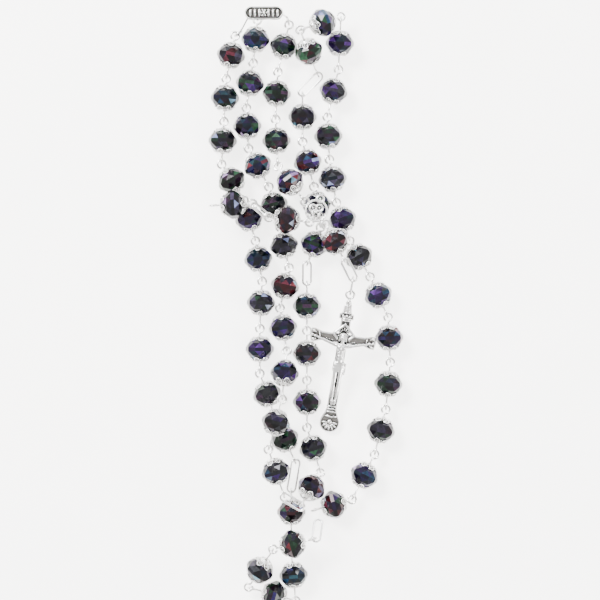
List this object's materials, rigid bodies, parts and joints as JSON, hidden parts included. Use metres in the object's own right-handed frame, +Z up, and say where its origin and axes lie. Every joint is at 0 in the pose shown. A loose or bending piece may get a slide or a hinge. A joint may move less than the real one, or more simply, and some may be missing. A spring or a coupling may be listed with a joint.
{
  "type": "rosary",
  "caption": "Loop of dark faceted crystal beads on silver eyepins with flower caps, a centrepiece, an openwork connector and a crucifix, laid in a loose heap.",
  "frame": {"origin": "middle of the heap's footprint, on the table", "axes": "+Y along the heap from the bottom turn to the centrepiece, +X to the crucifix side, +Z up from the table"},
  "size_m": [0.0432, 0.1332, 0.011],
  "materials": {
    "crystal": "near-black faceted crystal with a violet, green and maroon sheen",
    "silver_filigree": "bright silver-toned cast filigree",
    "silver_wire": "bright silver-toned wire",
    "antique_silver": "antique silver, dark in the recesses"
  },
  "bodies": {
    "heap": {"left_strand_beads": "crystal", "second_strand_beads": "crystal", "pendant_strand_beads": "crystal", "middle_strand_beads": "crystal", "right_strand_beads": "crystal", "cross_bead": "crystal", "left_bead_caps": "silver_filigree", "right_bead_caps": "silver_filigree", "left_eyepins": "silver_wire", "right_eyepins": "silver_wire", "oval_links": "silver_wire", "centrepiece": "silver_filigree", "connector": "silver_filigree"},
    "right_unit_1": {"right_eyepin_1": "silver_wire", "right_caps_1": "silver_filigree"},
    "right_bead_1": {"right_bead_1": "crystal"},
    "right_unit_2": {"right_eyepin_2": "silver_wire", "right_caps_2": "silver_filigree"},
    "right_bead_2": {"right_bead_2": "crystal"},
    "right_unit_3": {"right_eyepin_3": "silver_wire", "right_caps_3": "silver_filigree"},
    "right_bead_3": {"right_bead_3": "crystal"},
    "right_unit_4": {"right_eyepin_4": "silver_wire", "right_caps_4": "silver_filigree"},
    "right_bead_4": {"right_bead_4": "crystal"},
    "right_unit_5": {"right_eyepin_5": "silver_wire", "right_caps_5": "silver_filigree"},
    "right_bead_5": {"right_bead_5": "crystal"},
    "right_unit_6": {"right_eyepin_6": "silver_wire", "right_caps_6": "silver_filigree"},
    "right_bead_6": {"right_bead_6": "crystal"},
    "right_unit_7": {"right_eyepin_7": "silver_wire", "right_caps_7": "silver_filigree"},
    "right_bead_7": {"right_bead_7": "crystal"},
    "turn_unit_1": {"turn_eyepin_1": "silver_wire", "turn_caps_1": "silver_filigree"},
    "turn_bead_1": {"turn_bead_1": "crystal"},
    "turn_unit_2": {"turn_eyepin_2": "silver_wire", "turn_caps_2": "silver_filigree"},
    "turn_bead_2": {"turn_bead_2": "crystal"},
    "turn_unit_3": {"turn_eyepin_3": "silver_wire", "turn_caps_3": "silver_filigree"},
    "turn_bead_3": {"turn_bead_3": "crystal"},
    "turn_unit_4": {"turn_eyepin_4": "silver_wire", "turn_caps_4": "silver_filigree", "closing_link": "silver_wire"},
    "turn_bead_4": {"turn_bead_4": "crystal"},
    "tail_unit": {"tail_eyepin": "silver_wire", "tail_caps": "silver_filigree"},
    "tail_bead": {"tail_bead": "crystal"},
    "pendant_end_unit": {"pendant_end_eyepin": "silver_wire", "pendant_end_caps": "silver_filigree", "jump_rings": "silver_wire"},
    "pendant_end_bead": {"pendant_end_bead": "crystal"},
    "crucifix": {"bail": "silver_filigree", "cross": "antique_silver", "title_crown": "antique_silver", "halo": "antique_silver", "corpus": "antique_silver", "foot_band": "antique_silver"}
  },
  "joints": [
    {"name": "right_swing_1", "type": "hinge", "parent": "heap", "child": "right_unit_1", "pos_m": [0.00975, 0.01512, 0.003], "axis": [0, 0, 1], "range_deg": [0, 12]},
    {"name": "right_bead_spin_1", "type": "hinge", "parent": "right_unit_1", "child": "right_bead_1", "pos_m": [0.01178, 0.01151, 0.003], "axis": [0.4903, -0.8716, 0], "continuous": true},
    {"name": "right_swing_2", "type": "hinge", "parent": "right_unit_1", "child": "right_unit_2", "pos_m": [0.01425, 0.00712, 0.003], "axis": [0, 0, 1], "range_deg": [0, 12]},
    {"name": "right_bead_spin_2", "type": "hinge", "parent": "right_unit_2", "child": "right_bead_2", "pos_m": [0.01607, 0.00303, 0.003], "axis": [0.4061, -0.9138, 0], "continuous": true},
    {"name": "right_swing_3", "type": "hinge", "parent": "right_unit_2", "child": "right_unit_3", "pos_m": [0.01825, -0.00188, 0.003], "axis": [0, 0, 1], "range_deg": [0, 12]},
    {"name": "right_bead_spin_3", "type": "hinge", "parent": "right_unit_3", "child": "right_bead_3", "pos_m": [0.01848, -0.00643, 0.003], "axis": [0.0499, -0.9988, 0], "continuous": true},
    {"name": "right_swing_4", "type": "hinge", "parent": "right_unit_3", "child": "right_unit_4", "pos_m": [0.01875, -0.01188, 0.003], "axis": [0, 0, 1], "range_deg": [0, 12]},
    {"name": "right_bead_spin_4", "type": "hinge", "parent": "right_unit_4", "child": "right_bead_4", "pos_m": [0.01829, -0.01668, 0.003], "axis": [-0.0948, -0.9955, 0], "continuous": true},
    {"name": "right_swing_5", "type": "hinge", "parent": "right_unit_4", "child": "right_unit_5", "pos_m": [0.01775, -0.02238, 0.003], "axis": [0, 0, 1], "range_deg": [0, 12]},
    {"name": "right_bead_spin_5", "type": "hinge", "parent": "right_unit_5", "child": "right_bead_5", "pos_m": [0.01661, -0.02694, 0.003], "axis": [-0.2425, -0.9701, 0], "continuous": true},
    {"name": "right_swing_6", "type": "hinge", "parent": "right_unit_5", "child": "right_unit_6", "pos_m": [0.01525, -0.03238, 0.003], "axis": [0, 0, 1], "range_deg": [0, 12]},
    {"name": "right_bead_spin_6", "type": "hinge", "parent": "right_unit_6", "child": "right_bead_6", "pos_m": [0.01295, -0.03698, 0.003], "axis": [-0.4472, -0.8944, 0], "continuous": true},
    {"name": "right_swing_7", "type": "hinge", "parent": "right_unit_6", "child": "right_unit_7", "pos_m": [0.01025, -0.04238, 0.003], "axis": [0, 0, 1], "range_deg": [0, 12]},
    {"name": "right_bead_spin_7", "type": "hinge", "parent": "right_unit_7", "child": "right_bead_7", "pos_m": [0.00618, -0.04351, 0.003], "axis": [-0.9635, -0.2676, 0], "continuous": true},
    {"name": "turn_swing_1", "type": "hinge", "parent": "heap", "child": "turn_unit_1", "pos_m": [-0.00325, -0.05338, 0.003], "axis": [0, 0, 1], "range_deg": [-12, 0]},
    {"name": "turn_bead_spin_1", "type": "hinge", "parent": "turn_unit_1", "child": "turn_bead_1", "pos_m": [-0.00275, -0.05913, 0.003], "axis": [0.0866, -0.9962, 0], "continuous": true},
    {"name": "turn_swing_2", "type": "hinge", "parent": "turn_unit_1", "child": "turn_unit_2", "pos_m": [-0.00225, -0.06488, 0.003], "axis": [0, 0, 1], "range_deg": [0, 5]},
    {"name": "turn_bead_spin_2", "type": "hinge", "parent": "turn_unit_2", "child": "turn_bead_2", "pos_m": [-0.00707, -0.0635, 0.003], "axis": [-0.9615, 0.2747, 0], "continuous": true},
    {"name": "turn_swing_3", "type": "hinge", "parent": "turn_unit_2", "child": "turn_unit_3", "pos_m": [-0.01275, -0.06188, 0.003], "axis": [0, 0, 1], "range_deg": [-4, 2]},
    {"name": "turn_bead_spin_3", "type": "hinge", "parent": "turn_unit_3", "child": "turn_bead_3", "pos_m": [-0.01022, -0.05774, 0.00484], "axis": [0.4876, 0.7978, 0.3546], "continuous": true},
    {"name": "turn_swing_4", "type": "hinge", "parent": "turn_unit_3", "child": "turn_unit_4", "pos_m": [-0.00725, -0.05288, 0.007], "axis": [0, 0, 1], "range_deg": [-8, 0]},
    {"name": "turn_bead_spin_4", "type": "hinge", "parent": "turn_unit_4", "child": "turn_bead_4", "pos_m": [-0.00293, -0.05174, 0.00723], "axis": [0.9658, 0.2542, 0.0508], "continuous": true},
    {"name": "tail_lift", "type": "hinge", "parent": "heap", "child": "tail_unit", "pos_m": [-0.01107, 0.02253, 0.008], "axis": [0.6508, 0.7593, 0], "range_deg": [0, 40]},
    {"name": "tail_bead_spin", "type": "hinge", "parent": "tail_unit", "child": "tail_bead", "pos_m": [-0.01605, 0.02289, 0.008], "axis": [-0.9986, -0.0526, 0], "continuous": true},
    {"name": "pendant_end_lift", "type": "hinge", "parent": "heap", "child": "pendant_end_unit", "pos_m": [0.00375, 0.01937, 0.0072], "axis": [-0.8321, -0.5547, 0], "range_deg": [0, 25]},
    {"name": "pendant_end_bead_spin", "type": "hinge", "parent": "pendant_end_unit", "child": "pendant_end_bead", "pos_m": [0.00629, 0.01477, 0.00727], "axis": [0.4673, -0.8826, -0.0519], "continuous": true},
    {"name": "crucifix_lift", "type": "hinge", "parent": "pendant_end_unit", "child": "crucifix", "pos_m": [0.00989, 0.00401, 0.0065], "axis": [-0.9877, 0.1564, 0], "range_deg": [0, 90]}
  ]
}
